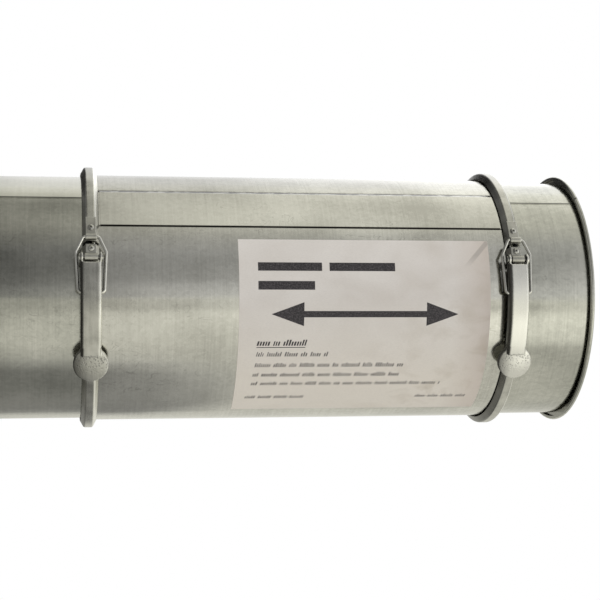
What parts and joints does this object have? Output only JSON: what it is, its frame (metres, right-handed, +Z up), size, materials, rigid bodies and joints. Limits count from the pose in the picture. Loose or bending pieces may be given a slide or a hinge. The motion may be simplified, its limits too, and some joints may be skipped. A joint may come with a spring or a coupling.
{
  "type": "duct access sleeve",
  "caption": "Round galvanised duct section whose clean-out opening is covered by a sliding sleeve, sealed by O-rings and held at its ends by hinged V-band clamps with over-centre levers.",
  "frame": {"origin": "on the duct's axis, at the middle of the clean-out opening", "axes": "+X along the duct to the right, -Y towards the front where the levers and the label are, +Z up"},
  "size_m": [0.71, 0.2226, 0.216],
  "materials": {
    "galvanised_duct": "satin galvanised sheet",
    "galvanised_sleeve": "satin galvanised sheet",
    "paper_label": "matte printed paper label",
    "black_rubber": "matte",
    "clamp_band": "dull zinc-plated steel",
    "latch_plate": "zinc-plated steel",
    "rivet_steel": "zinc-plated steel",
    "lever_steel": "zinc-plated pressed steel",
    "bright_wire": "bright drawn wire"
  },
  "bodies": {
    "duct": {"duct_pipe": "galvanised_duct"},
    "sleeve": {"access_sleeve": "galvanised_sleeve", "instruction_label": "paper_label", "left_o_ring": "black_rubber", "left_lower_band": "clamp_band", "left_lever_bracket": "latch_plate", "left_bracket_rivet": "rivet_steel", "left_lower_hinge_leaf": "latch_plate", "left_lower_leaf_rivet": "rivet_steel", "left_hinge_pin": "rivet_steel", "right_o_ring": "black_rubber", "right_lower_band": "clamp_band", "right_lever_bracket": "latch_plate", "right_bracket_rivet": "rivet_steel", "right_lower_hinge_leaf": "latch_plate", "right_lower_leaf_rivet": "rivet_steel", "right_hinge_pin": "rivet_steel"},
    "left_upper_half": {"left_upper_band": "clamp_band", "left_catch_plate": "latch_plate", "left_catch_rivet": "rivet_steel", "left_upper_hinge_leaf": "latch_plate", "left_upper_leaf_rivet": "rivet_steel"},
    "left_lever": {"left_lever": "lever_steel", "left_lever_pin": "rivet_steel"},
    "left_bail": {"left_wire_bail": "bright_wire"},
    "right_upper_half": {"right_upper_band": "clamp_band", "right_catch_plate": "latch_plate", "right_catch_rivet": "rivet_steel", "right_upper_hinge_leaf": "latch_plate", "right_upper_leaf_rivet": "rivet_steel"},
    "right_lever": {"right_lever": "lever_steel", "right_lever_pin": "rivet_steel"},
    "right_bail": {"right_wire_bail": "bright_wire"}
  },
  "joints": [
    {"name": "sleeve_slide", "type": "slide", "parent": "duct", "child": "sleeve", "axis": [1, 0, 0], "range_m": [-0.275, 0.045]},
    {"name": "left_lever_swing", "type": "hinge", "parent": "sleeve", "child": "left_lever", "pos_m": [-0.16915, -0.10745, 0.02978], "axis": [-1, 0, 0], "range_deg": [0, 120]},
    {"name": "left_band_opening", "type": "hinge", "parent": "sleeve", "child": "left_upper_half", "pos_m": [-0.16915, 0.10294, -0.04285], "axis": [-1, 0, 0], "range_deg": [0, 5.1]},
    {"name": "left_bail_swing", "type": "hinge", "parent": "left_upper_half", "child": "left_bail", "pos_m": [-0.16915, -0.10094, 0.04557], "axis": [-1, 0, 0], "range_deg": [0, 12.1]},
    {"name": "right_lever_swing", "type": "hinge", "parent": "sleeve", "child": "right_lever", "pos_m": [0.16915, -0.10745, 0.02978], "axis": [-1, 0, 0], "range_deg": [0, 120]},
    {"name": "right_band_opening", "type": "hinge", "parent": "sleeve", "child": "right_upper_half", "pos_m": [0.16915, 0.10294, -0.04285], "axis": [-1, 0, 0], "range_deg": [0, 5.1]},
    {"name": "right_bail_swing", "type": "hinge", "parent": "right_upper_half", "child": "right_bail", "pos_m": [0.16915, -0.10094, 0.04557], "axis": [-1, 0, 0], "range_deg": [0, 12.1]}
  ],
  "couplings": [
    {"joint": "left_band_opening", "follows": "left_lever_swing", "ratio": 0.0416},
    {"joint": "left_bail_swing", "follows": "left_lever_swing", "ratio": 0.1},
    {"joint": "right_band_opening", "follows": "right_lever_swing", "ratio": 0.0416},
    {"joint": "right_bail_swing", "follows": "right_lever_swing", "ratio": 0.1}
  ]
}
